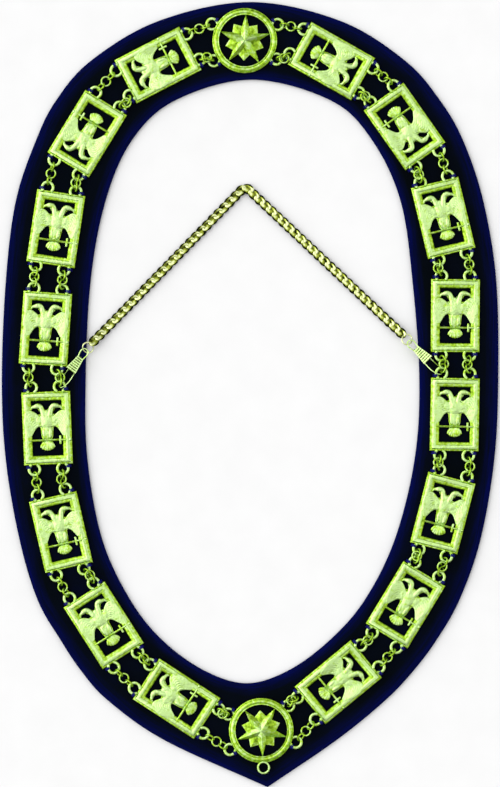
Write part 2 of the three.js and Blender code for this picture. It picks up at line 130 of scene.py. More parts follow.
# Swellings of the eagle and its sword's pommel: middle, half sizes and turn, as on the right side
SWELLINGS = {
    "breast": ((0, 5.4, 1.2), (5.8, 6.6, 1.75), 0),
    "shoulder": ((5.4, 5.6, 1.5), (4.4, 3.4, 1.1), 30),
    "neck_foot": ((0, 10.2, 1.2), (3.4, 3.0, 1.3), 0),
    "belly": ((0, -2.0, 1.2), (3.9, 7.0, 1.2), 0),
    "thigh": ((2.2, -3.6, 1.3), (1.7, 4.2, 1.3), -5),
    "eye": ((6.9, 16.3, 2.5), (0.45, 0.45, 0.4), 0),
    "crest": ((4.2, 16.6, 1.45), (1.5, 0.8, 0.95), 40),
    "pommel": ((16.4, SWORD_LINE, 2.4), (1.1, 1.1, 1.0), 0),
}
SWELLING_FACES = {"breast": (24, 14), "eye": (10, 6), "crest": (12, 8), "pommel": (12, 8)}
PLAIN_FACES = (20, 12)

# One neck from the breast to the tip of the hooked beak
NECK = (
    (1.6, 7.4), (2.3, 9.8), (2.9, 12.2), (3.5, 14.6), (4.7, 16.0), (6.4, 16.1),
    (7.9, 15.8), (8.9, 15.5), (10.2, 15.1), (11.0, 14.3), (10.9, 13.3),
)
NECK_SIZES = (1.2, 1.3, 1.2, 1.1, 1.15, 1.2, 1.05, 0.7, 0.6, 0.45, 0.2)
NECK_WIDE = 3.4
NECK_THICK = 2.1
NECK_LIFT = 1.6

# Medallions
MEDALLION_RADIUS = 23.4
MEDALLION_SIDES = 72
MEDALLION_PROFILE = (
    (0, 0), (0, 1.7), (0.2, 2.1), (0.8, 2.3), (1.05, 1.9), (1.3, 2.0), (1.8, 2.5), (2.6, 2.7),
    (3.3, 2.55), (3.6, 2.1), (3.8, 2.05), (4.0, 2.5), (4.7, 2.6), (4.95, 2.2), (5.0, 0),
)
LONG_STAR = {"tips": 19.0, "valleys": 6.6, "low": 0.9, "rise": 4.2, "turn": 90}
SHORT_STAR = {"tips": 14.4, "valleys": 9.8, "low": 0.5, "rise": 2.2, "turn": 54}
STAR_EDGE = 0.35
STAR_CORNERS = 10
JEWEL_LOOP = {"radius": 4, "wire": 1.6, "out": 3.4, "height": 1.6, "faces": (32, 10)}

# Small rings: the end ones of a run lean, the middle one lies flat, higher where it is on the loops
RINGS_IN_RUN = 3
RING_RADIUS = 3.25
RING_WIRE = 1.4
RING_LEAN = 64
RING_HEIGHT = {"end": 7.5, "middle": 6.3, "piled": 7.4}
RING_SHARE = 0.43
RING_FACES = (20, 6)

# How far the rings stray, tip and lean, and how fast that changes from run to run
RING_STRAY = 1.8
FULL_SLACK = 4
RING_WOBBLE = 8
SWING = {"stray": 2.4, "tip": 1.9, "lean": 2.7}

# Curb chain
CHAIN_APEX = (-3.5, 150.4)
APEX_ROUND = 4
TURN_STEPS = 12
CHAIN_REST = 1.85
CLIMB_RUN = 15
CLIMB_TOP = 5
LINK_PITCH = 5.8
LINK_HALF = (3.7, 2.75)
LINK_WIRE = 2.0
LINK_TWIST = 80
LINK_GROUND = 1.2
LINK_FACES = (24, 10)
END_RING = {"span": 5.4, "bite": 2, "width": 10.4, "wire": 1, "tilt": 36, "faces": (28, 8)}

# Hooks, measured from the tip of the wire eye along the line to the loop that the bail goes through
HOOK_REACH = 33
EYE_HEIGHT = 5.6
EYE_WIRE = 0.9
EYE = (
    (1.7, 8.4), (2.3, 6.2), (2.8, 3), (2, 0.7), (0, 0),
    (-2, 0.7), (-2.8, 3), (-2.3, 6.2), (-1.7, 8.4),
)
SLEEVE = {"from": 7.6, "to": 20, "narrow": 4.8, "wide": 8, "thick": 2.4, "low": 4.2}
SLEEVE_BEVEL = 0.25
SLEEVE_RIBS = 7
RIB_WIDE = 1.15
RIB_PROUD = 0.3
RIB_BEVEL = 0.12
RAIL_WIRE = 0.6
SLEEVE_LINES = (-0.5, 0, 0.5)
LINE_WIRE = 0.22
LINE_SHARES = (0, 0.3, 0.6, 1)
WIRE_STRIDE = 4
BAIL_WIRE = 0.8
BAIL = (
    (3.1, 18.4, None), (3.4, 22, 6.6), (3.5, 26.5, 7.5), (2.7, 30.2, 7.2), (1.1, 33, 5.5),
    (-1, 32.8, 4.1), (-2.3, 29.4, 3.75), (-2.2, 24.5, 4.6), (-2.1, 18.4, None),
)

# Thread: strands side by side over a loop's wire, as points across the wire
STRAND_WIRE = 0.5
STRANDS = 4
STRAND_PITCH = 0.5
STRAND_LEAN = 0.12
STRAND_SWING = 2.3
STITCH_OUT = 1.3
STRAND_ARCH = (
    (-2.0, -2.3), (-1.75, -0.9), (-1.2, 0.85), (0, 1.45), (1.2, 0.85), (1.75, -0.9), (2.0, -2.3),
)

# Edges of the laid band, from the front up one side: y, then the outer and the inner x of that side
BAND_RIGHT = (
    (-248.8, 62.3, None), (-220, 97.6, None), (-198.4, 118.1, 27.7), (-176.8, 134.3, 57.2),
    (-148, 150.8, 82.4), (-104.8, 166, 104), (-47.2, 176, 118.4), (10.4, 178.9, 122),
    (82.4, 177.5, 117), (140, 168.1, 108.4), (183.2, 153.7, 88.2), (212, 137.2, 58.7),
    (240.8, 112, None), (269.6, 65.2, None),
)
BAND_LEFT = (
    (-248.8, -61.6, None), (-220, -102.6, None), (-198.4, -122, -33.1), (-176.8, -136.4, -63),
    (-148, -153, -86), (-104.8, -166, -106.2), (-47.2, -176, -117), (10.4, -178.9, -118.4),
    (82.4, -176, -114.8), (140, -168.8, -104), (183.2, -154.4, -85.3), (212, -140, -54.4),
    (240.8, -114.8, None), (269.6, -65.9, None),
)
BAND_TOP = {"outer": (0.4, 283.2), "inner": (1.1, 227.2)}
BAND_BOTTOM = {"outer": (12.6, -282.6), "inner": (-2.5, -207.7)}
BAND_HALF_STEPS = 130
CURVE_STEPS = 16

# The band's edge as distances in from it and heights, from the underside round to the top
BAND_LIP = (
    (2.0, 0), (0.7, 0.15), (0.12, 0.75), (0, 1.5), (0.15, 2.25), (0.7, 2.8), (1.7, 2.97), (4.5, 3.0),
)
BAND_MIDDLE_STEPS = 8

# Plaques from the back of the neck down each side: x, y, turn of the end nearer the back, heads
PLAQUES = {
    "left": (
        (-66.2, 237.4, -62.6, "forward"), (-117.2, 188, -31.4, "forward"),
        (-139.7, 119.7, -8.6, "back"), (-147.2, 47.7, -3.9, "back"),
        (-146, -23.8, 2.3, "back"), (-136.1, -98.6, 13, "back"),
        (-105.3, -165.7, 32.5, "back"), (-52.8, -218.5, 56.9, "back"),
    ),
    "right": (
        (58.5, 240.2, 60.5, "forward"), (111.2, 193.2, 35, "forward"),
        (139, 127.4, 13.6, "back"), (147.7, 57.1, -0.4, "back"),
        (147.3, -14, -1.1, "back"), (138.7, -84.9, -14.5, "back"),
        (111.9, -150.9, -31.2, "back"), (63.4, -206.6, -50.4, "back"),
    ),
}

# Medallions: x, y and turn, and the ways of their four loops on the table
BACK_MEDALLION = (-3.8, 255, -2.7)
FRONT_MEDALLION = (8.1, -241.3, 183.5)
MEDALLION_LOOPS = {
    BACK_MEDALLION: {
        ("left", "outer"): 153, ("left", "inner"): 213,
        ("right", "outer"): 26, ("right", "inner"): -30,
    },
    FRONT_MEDALLION: {
        ("left", "outer"): 211.5, ("left", "inner"): 154,
        ("right", "outer"): -19, ("right", "inner"): 42,
    },
}

# The two sides: which way is outwards, and which plaque each hook goes to and how it lies
OUTWARD = {"left": -1, "right": 1}
HOOKS = {
    "left": {"place": 5, "heading": 234, "chain_heading": 50, "rise": 3.9},
    "right": {"place": 5, "heading": 316, "chain_heading": 128, "rise": 1.6},
}

# Gilding: sizes of its clouds, grain and dents, how its pale parts come about from wear and from
# painted highlight and shade, and its relief
POLISH_SIZES = {"Cloud Size": 380, "Grain Size": 2600, "Dent Size": 560}
RAISED_SHARE = 0.65
RAISED_BASE = -0.22
CLOUD_SHARE = 1.25
GILT_STOPS = (0.3, 0.75, 1.0)
DENT_DEPTH = 0.0008
GRAIN_DEPTH = 0.0002
GRAIN_STRENGTH = 0.18
CAST_FINISH = {"roughness": (0.24, 0.42), "dents": 0.5}
WIRE_FINISH = {"roughness": (0.2, 0.36), "dents": 0.1}

# Velvet: its painted sheen, deep blue across the band towards the edges, how that sheen is streaked,
# and its colours
EDGE_SHEEN = ((0.2, 1), (0.31, 0.6), (0.37, 0), (0.64, 0), (0.69, 0.6), (0.8, 1))
SHEEN_STREAKS = ((0.36, 0.25), (0.66, 1))
PILE_COLOURS = (
    (0.35, (0.0016, 0.0026, 0.0038)),
    (0.55, (0.0018, 0.0029, 0.006)),
    (0.75, (0.0016, 0.0027, 0.014)),
)
SHEEN_BLUE = (0.0015, 0.003, 0.08, 1)
THREAD_COLOURS = ((0.2, (0.001, 0.001, 0.04)), (0.8, (0.0015, 0.002, 0.2)))
TABLE_SHADES = ((0.3, 0.71), (0.7, 0.73))

# Picture: what the camera covers on the table
VIEW_MIDDLE = (0, 0.00108)
VIEW_HEIGHT = 0.56664
LENS = 135
SENSOR = 36
FAR_CLIP = 20
TABLE_SIZE = 12

# Light: the ways it mostly comes from, and how bright it is for each cosine of the angle to them
LIGHT_FROM = (-0.8, 0.25, 0.55)
SKY = ((-0.6, 0.2), (0.0, 0.35), (0.3, 0.6), (0.55, 0.88), (0.8, 1.65), (1.0, 2.3))
FILL_FROM = (0.85, 0.1, 0.5)
FILL = ((0.65, 0), (0.9, 0.75), (1.0, 1.0))
SKY_STRENGTH = 1.22


# Bench work


def deselect():
    bpy.ops.object.select_all(action="DESELECT")


def take(piece):
    """Makes a piece the only one selected."""
    deselect()
    piece.select_set(True)
    bpy.context.view_layer.objects.active = piece


def start(name, primitive, **shape):
    """Adds a primitive alone on the bench and opens it for editing, all selected."""
    deselect()
    primitive(**shape)
    piece = bpy.context.active_object
    piece.name = name
    bpy.ops.object.mode_set(mode="EDIT")
    return piece


def shut():
    bpy.ops.object.mode_set(mode="OBJECT")


def reopen(piece):
    take(piece)
    bpy.ops.object.mode_set(mode="EDIT")


def face_outwards():
    """Turns every face of the open piece outwards."""
    bpy.ops.mesh.select_all(action="SELECT")
    bpy.ops.mesh.normals_make_consistent(inside=False)


def move_corners(piece, where):
    """Moves every corner of the open piece to what a function makes of its place."""
    form = bmesh.from_edit_mesh(piece.data)
    for corner in form.verts:
        corner.co = where(corner.co.copy())
    bmesh.update_edit_mesh(piece.data)


def pick_edges(piece, wanted):
    """Selects the open piece's edges whose two ends both pass a test."""
    bpy.ops.mesh.select_mode(type="EDGE")
    form = bmesh.from_edit_mesh(piece.data)
    for edge in form.edges:
        edge.select_set(all(wanted(corner.co) for corner in edge.verts))
    form.select_flush_mode()
    bmesh.update_edit_mesh(piece.data)


def smooth(piece, degrees=40):
    take(piece)
    bpy.ops.object.shade_smooth_by_angle(angle=math.radians(degrees))


def apply_modifier(piece, kind, **settings):
    take(piece)
    modifier = piece.modifiers.new(kind.lower(), kind)
    for name, value in settings.items():
        setattr(modifier, name, value)
    bpy.ops.object.modifier_apply(modifier=modifier.name)


def join(name, pieces):
    """Joins pieces into one of that name."""
    take(pieces[0])
    for piece in pieces[1:]:
        piece.select_set(True)
    bpy.ops.object.join()
    pieces[0].name = name
    pieces[0].data.name = name
    return pieces[0]


def stamp(name, pattern, places, keep=False):
    """Copies a pattern to each place and joins the copies into one piece."""
    form = bmesh.new()
    for place in places:
        copy = pattern.data.copy()
        copy.transform(place)
        form.from_mesh(copy)
        bpy.data.meshes.remove(copy)
    mesh = bpy.data.meshes.new(name)
    form.to_mesh(mesh)
    form.free()
    piece = bpy.data.objects.new(name, mesh)
    bpy.context.collection.objects.link(piece)
    if not keep:
        bpy.data.objects.remove(pattern)
    return piece


def copy_of(pattern, name, place):
    """A copy with its own mesh, laid in its place."""
    return stamp(name, pattern, [place], keep=True)


def turned(degrees, axis="Z"):
    return Matrix.Rotation(math.radians(degrees), 4, axis)


def laid(x, y, z, turn=0):
    """Place of a piece on the table: turned about the upright, then moved."""
    return Matrix.Translation((x, y, z)) @ turned(turn)


def sized(x, y, z):
    return Matrix.Diagonal((x, y, z, 1))


def wire(name, points, thickness, sides=2, closed=False, sizes=None):
    """A round wire led smoothly by points; sizes thin or thicken it at each of them."""
    line = bpy.data.curves.new(name, "CURVE")
    line.dimensions = "3D"
    line.bevel_depth = thickness / 2
    line.bevel_resolution = sides
    line.resolution_u = 4
    line.use_fill_caps = True
    strand = line.splines.new("NURBS")
    strand.points.add(len(points) - 1)
    for knot, point in zip(strand.points, points):
        knot.co = (*point, 1)
    if sizes:
        for knot, size in zip(strand.points, sizes):
            knot.radius = size
    strand.order_u = 4
    strand.use_endpoint_u = not closed
    strand.use_cyclic_u = closed
    piece = bpy.data.objects.new(name, line)
    bpy.context.collection.objects.link(piece)
    take(piece)
    bpy.ops.object.convert(target="MESH")
    smooth(bpy.context.active_object, 60)
    return bpy.context.active_object


def smooth_line(points, closed=False):
    """Close points along a smooth curve through the given ones, CURVE_STEPS to each stretch."""
    if closed:
        ends = [points[-1], *points, points[0], points[1]]
    else:
        ends = [2 * points[0] - points[1], *points, 2 * points[-1] - points[-2]]
    dense = []
    for before, a, b, after in zip(ends, ends[1:], ends[2:], ends[3:]):
        leave = (b - before) / 2
        arrive = (after - a) / 2
        for i in range(CURVE_STEPS):
            t = i / CURVE_STEPS
            dense.append(
                (2 * t**3 - 3 * t**2 + 1) * a
                + (t**3 - 2 * t**2 + t) * leave
                + (3 * t**2 - 2 * t**3) * b
                + (t**3 - t**2) * arrive
            )
    dense.append(points[0] if closed else points[-1])
    return dense


def evenly(points, steps):
    """Points at equal spacing along a run of short straight stretches."""
    lengths = [(b - a).length for a, b in zip(points, points[1:])]
    total = sum(lengths)
    spots = []
    walked, i = 0, 0
    for step in range(steps + 1):
        goal = total * step / steps
        while i < len(lengths) - 1 and walked + lengths[i] < goal:
            walked += lengths[i]
            i += 1
        share = (goal - walked) / lengths[i]
        spots.append(points[i].lerp(points[i + 1], min(share, 1)))
    return spots


def mould(profile):
    """Steps the open face inwards along a profile of insets and heights, and closes the back."""
    for (inset, height), (next_inset, next_height) in zip(profile, profile[1:]):
        bpy.ops.mesh.inset(thickness=next_inset - inset, depth=next_height - height)
    bpy.ops.mesh.delete(type="FACE")
    bpy.ops.mesh.select_mode(type="EDGE")
    bpy.ops.mesh.select_all(action="DESELECT")
    bpy.ops.mesh.select_non_manifold()
    bpy.ops.mesh.bridge_edge_loops()
    face_outwards()


def ring(name, radius, thickness, around, across):
    """A plain round ring lying flat."""
    piece = start(
        name,
        bpy.ops.mesh.primitive_torus_add,
        major_radius=radius,
        minor_radius=thickness / 2,
        major_segments=around,
        minor_segments=across,
    )
    shut()
    smooth(piece, 80)
    return piece


def mark(piece, values):
    """Keeps how rubbed each corner is with the piece, together with the painted highlight or shade it
    gets.
    """
    piece.data.attributes.new("worn", "FLOAT", "POINT").data.foreach_set("value", values)


def worn(piece, low, high, sides=None, least=0):
    """Marks each corner from the least in the hollows to 1 on the tops, less towards given sides:
    partly wear and patina, partly painted highlight on the tops and painted shade in the hollows and on
    the sides.
    """
    values = []
    for corner in piece.data.vertices:
        value = between(low, high, corner.co.z)
        if sides:
            value *= 1 - between(*sides, abs(corner.co.y))
        values.append(least + (1 - least) * value)
    mark(piece, values)


def deep_all_over(piece):
    """Marks a whole piece as a hollow."""
    mark(piece, [0.0] * len(piece.data.vertices))


def between(low, high, value):
    """How far a value is from one limit to another, from 0 to 1."""
    return min(max((value - low) / (high - low), 0), 1)


def cast_loop(out):
    """A loop of flattened wire that grows from an edge along X, its middle that far out along +Y."""
    root = math.asin(out / LOOP_RADIUS) + LOOP_ROOT / LOOP_RADIUS
    points = []
    for i in range(LOOP_STEPS + 1):
        angle = (math.pi + 2 * root) * i / LOOP_STEPS - root
        points.append((LOOP_RADIUS * math.cos(angle), out + LOOP_RADIUS * math.sin(angle), 0))
    loop = wire("cast_loop", points, LOOP_WIDE)
    loop.data.transform(sized(1, 1, LOOP_THICK / LOOP_WIDE))
    worn(loop, *LOOP_WEAR_AND_SHADING)
    return loop


# Velvet band


def round_the_band(edge):
    """The band's closed edge from the front point up the right side and down the left one."""
    column = 1 if edge == "outer" else 2
    right, left = (
        [Vector((row[column], row[0])) for row in side if row[column] is not None]
        for side in (BAND_RIGHT, BAND_LEFT)
    )
    points = [Vector(BAND_BOTTOM[edge]), *right, Vector(BAND_TOP[edge]), *reversed(left)]
    if edge == "outer":
        dense = smooth_line([*points, points[0]])
    else:
        dense = smooth_line(points, closed=True)
    back = CURVE_STEPS * (len(right) + 1)
    up = evenly(dense[: back + 1], BAND_HALF_STEPS)
    down = evenly(dense[back:], BAND_HALF_STEPS)
    return up + down[1:]


def band_section(width):
    """Distances in from the outer edge and heights, once round the band's section from its middle."""
    outer = list(BAND_LIP)
    inner = [(width - inset, height) for inset, height in reversed(BAND_LIP)]
    first, last = outer[-1][0], inner[0][0]
    top = []
    for i in range(1, BAND_MIDDLE_STEPS):
        top.append((first + (last - first) * i / BAND_MIDDLE_STEPS, VELVET_THICK))
    return [(width / 2, 0), *outer, *top, *inner, (width / 2, 0)]


def velvet_band():
    outer = round_the_band("outer")
    inner = round_the_band("inner")
    along = len(outer) - 1
    across = len(band_section(1)) - 1
    piece = start(
        "velvet_collar_band",
        bpy.ops.mesh.primitive_grid_add,
        x_subdivisions=along,
        y_subdivisions=across,
        size=1,
    )

    def on_band(corner):
        i = round((corner.x + 0.5) * along)
        j = round((corner.y + 0.5) * across)
        reach = inner[i] - outer[i]
        inset, height = band_section(reach.length)[j]
        spot = outer[i] + reach.normalized() * inset
        return Vector((spot.x, spot.y, height))

    move_corners(piece, on_band)
    bpy.ops.mesh.remove_doubles(threshold=NEAR)
    face_outwards()
    shut()
    smooth(piece, 60)
    return piece


# Eagle plaques


def moulded_frame():
    piece = start("moulded_frame", bpy.ops.mesh.primitive_plane_add, size=1)
    bpy.ops.transform.resize(value=(PLAQUE_WIDTH, PLAQUE_LENGTH, 1))
    mould(FRAME_PROFILE)
    shut()
    smooth(piece, 35)
    return piece


def eagle_plate():
    """The flat pierced plate that carries the eagle's relief."""
    right = list(EAGLE_HALF)
    left = [(-x, y) for x, y in reversed(EAGLE_HALF)]
    outline = [EAGLE_NOTCH, *right, EAGLE_TAIL_END, *left]
    piece = start(
        "eagle_plate",
        bpy.ops.mesh.primitive_circle_add,
        vertices=len(outline),
        radius=1,
        fill_type="NGON",
    )
    form = bmesh.from_edit_mesh(piece.data)
    for corner, (x, y) in zip(form.verts, reversed(outline)):
        corner.co = (x, y, EAGLE_LOW)
    bmesh.update_edit_mesh(piece.data)
    bpy.ops.mesh.extrude_region_move(TRANSFORM_OT_translate={"value": (0, 0, EAGLE_HIGH - EAGLE_LOW)})
    pick_edges(piece, lambda at: at.z > EAGLE_HIGH - NEAR)
    bpy.ops.mesh.bevel(offset=EAGLE_BEVEL, segments=2, affect="EDGES")
    face_outwards()
    shut()
    smooth(piece, 40)
    return piece


def swelling(name, side=1):
    """A smooth flattened swelling of the relief, on the right or mirrored to the left."""
    (x, y, z), half, turn = SWELLINGS[name]
    around, along = SWELLING_FACES.get(name, PLAIN_FACES)
    piece = start(
        name,
        bpy.ops.mesh.primitive_uv_sphere_add,
        radius=1,
        segments=around,
        ring_count=along,
    )
    bpy.ops.transform.resize(value=half)
    shut()
    piece.data.transform(laid(side * x, y, z, side * turn))
    smooth(piece, 80)
    return piece


def feather_pattern():
    """One feather, a unit long from its root at the origin along +Y, with a ridge down its middle."""
    piece = start("feather", bpy.ops.mesh.primitive_uv_sphere_add, radius=0.5, segments=8, ring_count=6)
    bpy.ops.transform.rotate(value=math.pi / 2, orient_axis="X", center_override=(0, 0, 0))

    def leaf(corner):
        along = corner.y + 0.5
        broad = LEAF["root"] + LEAF["swell"] * along - LEAF["taper"] * along**2
        on_ridge = abs(corner.x) < LEAF["ridge_half"] and corner.z > LEAF["ridge_from"]
        ridge = LEAF["ridge"] if on_ridge else 0
        return Vector((corner.x * broad, along, corner.z + ridge * (1 - along)))

    move_corners(piece, leaf)
    shut()
    smooth(piece, 50)
    return piece


def feather_place(root, tip, width, height, lift):
    """Place of a feather from its root to its tip, at its width and height."""
    way = Vector(tip) - Vector(root)
    turn = math.degrees(math.atan2(way.y, way.x)) - 90
    return laid(*root, lift, turn) @ sized(width, way.length, height)


def wing(side):
    """One wing of long curved feathers, which climbs onto the frame."""
    feathers = []
    for i in range(FEATHERS):
        share = i / (FEATHERS - 1)
        line = []
        for first, last in zip(FIRST_FEATHER, LAST_FEATHER):
            x, y = Vector(first).lerp(Vector(last), share)
            over = between(WING_OVER_FRAME["from"], WING_OVER_FRAME["to"], x)
            over *= between(WING_OVER_FRAME["under"], WING_OVER_FRAME["clear"], y)
            height = WING_LOW + over * WING_OVER_FRAME["rise"]
            line.append((side * x, y, height * FEATHER_WIDE / FEATHER_THICK))
        feathers.append(wire("feather", line, FEATHER_WIDE, sizes=FEATHER_SIZES))
    whole = join("wing", feathers)
    whole.data.transform(sized(1, 1, FEATHER_THICK / FEATHER_WIDE))
    return whole


def head(side):
    """One neck with its head and hooked beak, an eye and a crest."""
    neck = wire("neck", [(side * x, y, 0) for x, y in NECK], NECK_WIDE, sizes=NECK_SIZES)
    neck.data.transform(laid(0, 0, NECK_LIFT) @ sized(1, 1, NECK_THICK / NECK_WIDE))
    return [neck, swelling("eye", side), swelling("crest", side)]


def sword():
    """A straight sword under the claws: blade, guard, grip and pommel."""
    blade = start(
        "blade", bpy.ops.mesh.primitive_cylinder_add, vertices=4, radius=1, depth=BLADE["length"]
    )
    bpy.ops.transform.rotate(value=math.pi / 2, orient_axis="Y", center_override=(0, 0, 0))
    bpy.ops.transform.resize(value=(1, BLADE["half_wide"], BLADE["half_thick"]))
    bpy.ops.transform.translate(value=(BLADE["x"], SWORD_LINE, BLADE["z"]))
    shut()
    guard = start("guard", bpy.ops.mesh.primitive_cube_add, size=1)
    bpy.ops.transform.resize(value=GUARD["size"])
    bpy.ops.mesh.bevel(offset=GUARD["bevel"], segments=3, affect="EDGES")
    bpy.ops.transform.translate(value=(GUARD["x"], SWORD_LINE, GUARD["z"]))
    shut()
    smooth(guard, 50)
    grip = wire("grip", [(x, SWORD_LINE, GRIP["z"]) for x in GRIP["x"]], GRIP["wire"])
    return [blade, guard, grip, swelling("pommel")]


def eagle_plaque(loop_out):
    """One whole plaque, heads towards +Y, its back at the origin's height."""
    tail = []
    for i, tip in enumerate(TAIL_TIPS):
        root = (TAIL["gather"] * tip[0], TAIL["root"])
        tail.append(feather_place(root, tip, TAIL["wide"], TAIL["thick"], TAIL["lifts"][i % 2]))
    toes = []
    for side in (-1, 1):
        for across in TOES["spread"]:
            spot = laid(side * TOES["x"] + across, SWORD_LINE - TOES["under"], TOES["lift"])
            toes.append(spot @ sized(*TOES["size"]))
    plumage = stamp("plumage", feather_pattern(), tail + toes)
    at_ends = [
        turned(end) @ laid(across, PLAQUE_LENGTH / 2, LOOP_HEIGHT["plaque"])
        for end in (0, 180)
        for across in (-LOOP_ACROSS, LOOP_ACROSS)
    ]
    loops = stamp("cast_loops", cast_loop(loop_out), at_ends)
    body = [swelling(name) for name in ("breast", "neck_foot", "belly")]
    body += [swelling(name, side) for name in ("shoulder", "thigh") for side in (-1, 1)]
    rim = moulded_frame()
    worn(rim, *FRAME_WEAR_AND_SHADING)
    eagle = [eagle_plate(), plumage, *body, wing(-1), wing(1), *head(-1), *head(1)]
    for piece in eagle:
        worn(piece, *EAGLE_WEAR_AND_SHADING)
    blade = sword()
    for piece in blade:
        worn(piece, *SWORD_WEAR_AND_SHADING)
    plaque = join("eagle_plaque", [rim, loops, *eagle, *blade])
    reopen(plaque)
    face_outwards()
    shut()
    return plaque


# Star medallions


def star(name, tips, valleys, low, rise, turn):
    """A five-pointed star with a ridge to each point and a thin edge all round."""
    piece = start(
        name,
        bpy.ops.mesh.primitive_cone_add,
        vertices=STAR_CORNERS,
        radius1=1,
        radius2=0,
        depth=rise,
        end_fill_type="NGON",
    )

    def point(corner):
        reach = math.hypot(corner.x, corner.y)
        number = round((math.atan2(corner.y, corner.x) / math.pi - 0.5) * STAR_CORNERS / 2)
        radius = reach * (valleys if number % 2 else tips)
        angle = math.radians(turn) + number * 2 * math.pi / STAR_CORNERS
        height = corner.z + rise / 2 + low + STAR_EDGE
        return Vector((radius * math.cos(angle), radius * math.sin(angle), height))

    move_corners(piece, point)
    form = bmesh.from_edit_mesh(piece.data)
    bpy.ops.mesh.select_mode(type="FACE")
    for face in form.faces:
        face.select_set(len(face.verts) == STAR_CORNERS)
    form.select_flush_mode()
    bmesh.update_edit_mesh(piece.data)
    bpy.ops.mesh.extrude_region_move(TRANSFORM_OT_translate={"value": (0, 0, -STAR_EDGE)})
    face_outwards()
    shut()
    return piece


def star_medallion(name, unit, has_jewel_loop):
    """A moulded ring with two stars in it, four side loops, and on the front one a jewel's loop."""
    rim = start(
        "medallion_rim",
        bpy.ops.mesh.primitive_circle_add,
        vertices=MEDALLION_SIDES,
        radius=MEDALLION_RADIUS,
        fill_type="NGON",
    )
    mould(MEDALLION_PROFILE)
    shut()
    smooth(rim, 50)
    places = []
    for way in MEDALLION_LOOPS[unit].values():
        places.append(turned(way - unit[2] - 90) @ laid(0, MEDALLION_RADIUS, LOOP_HEIGHT["medallion"]))
    worn(rim, *RIM_WEAR_AND_SHADING)
    long_star = star("long_star", **LONG_STAR)
    worn(long_star, *STAR_WEAR_AND_SHADING["long"])
    short_star = star("short_star", **SHORT_STAR)
    # The short star goes deep towards its middle: painted shade beside the long star's points
    worn(short_star, *STAR_WEAR_AND_SHADING["short"], least=DEEPEST_SHADE)
    pieces = [rim, long_star, short_star, stamp("loops", cast_loop(LOOP_OUT["far"]), places)]
    if has_jewel_loop:
        jewel = ring("jewel_loop", JEWEL_LOOP["radius"], JEWEL_LOOP["wire"], *JEWEL_LOOP["faces"])
        worn(jewel, *LOOP_WEAR_AND_SHADING)
        jewel.data.transform(laid(0, MEDALLION_RADIUS + JEWEL_LOOP["out"], JEWEL_LOOP["height"]))
        pieces.append(jewel)
    return join(name, pieces)


# Where the loops lie


def on_unit(unit, x, y):
    """A spot of a laid plaque or medallion on the table."""
    return (laid(unit[0], unit[1], 0, unit[2]) @ Vector((x, y, 0))).to_2d()


def on_table(length, heading):
    angle = math.radians(heading)
    return Vector((length * math.cos(angle), length * math.sin(angle)))


def plaque_loop(side, place, end, edge):
    across = OUTWARD[side] * (LOOP_ACROSS if edge == "outer" else -LOOP_ACROSS)
    along = PLAQUE_LENGTH / 2 + LOOP_OUT["near" if place < FAR_LOOPS_FROM else "far"]
    spot = on_unit(PLAQUES[side][place - 1], across, along if end == "back" else -along)
    return Vector((*spot, METAL_REST + LOOP_HEIGHT["plaque"]))


def medallion_loop(medallion, side, edge):
    reach = on_table(MEDALLION_RADIUS + LOOP_OUT["far"], MEDALLION_LOOPS[medallion][side, edge])
    height = METAL_REST + LOOP_HEIGHT["medallion"]
    return Vector((medallion[0] + reach.x, medallion[1] + reach.y, height))


def loop_pairs(side, edge):
    """The two loops that each run of rings ties, from the back of the neck to the front."""
    count = len(PLAQUES[side])
    pairs = [(medallion_loop(BACK_MEDALLION, side, edge), plaque_loop(side, 1, "back", edge))]
    for place in range(1, count):
        front = plaque_loop(side, place, "front", edge)
        pairs.append((front, plaque_loop(side, place + 1, "back", edge)))
    pairs.append((plaque_loop(side, count, "front", edge), medallion_loop(FRONT_MEDALLION, side, edge)))
    return pairs


# Runs of small rings


def ring_places(start_loop, end_loop, number):
    """Where the three rings of one run lie: the one on top, and one through each loop."""
    start_spot, end_spot = start_loop.to_2d(), end_loop.to_2d()
    line = end_spot - start_spot
    aside = Vector((-line.y, line.x)).normalized()
    slack = between(0, FULL_SLACK, 2 * RINGS_IN_RUN * RING_RADIUS - line.length)
    stray = RING_STRAY * slack * math.sin(SWING["stray"] * number)
    middle = (start_spot + end_spot) / 2 + aside * stray
    clear = LOOP_RADIUS + (LOOP_WIDE + RING_WIRE) / 2 + RING_RADIUS
    height = RING_HEIGHT["middle" if line.length > 2 * clear else "piled"]
    heading = math.degrees(math.atan2(line.y, line.x))
    tip = RING_WOBBLE * math.sin(SWING["tip"] * number)
    places = [laid(*middle, height, heading) @ turned(tip, "X")]
    for loop, sign in ((start_loop, 1), (end_loop, 1 if number % 2 else -1)):
        way = middle - loop.to_2d()
        gap = way.length - LOOP_RADIUS - RING_RADIUS
        spot = loop.to_2d() + way.normalized() * (LOOP_RADIUS + RING_SHARE * gap)
        lean = sign * (RING_LEAN + RING_WOBBLE * math.sin(SWING["lean"] * number))
        turn = math.degrees(math.atan2(way.y, way.x))
        places.append(laid(*spot, (loop.z + RING_HEIGHT["end"]) / 2, turn) @ turned(lean, "X"))
    return places


# Curb chain and hooks


def hook_eye(side):
    hook = HOOKS[side]
    loop = plaque_loop(side, hook["place"], "back", "inner").to_2d()
    return loop - on_table(HOOK_REACH, hook["heading"])


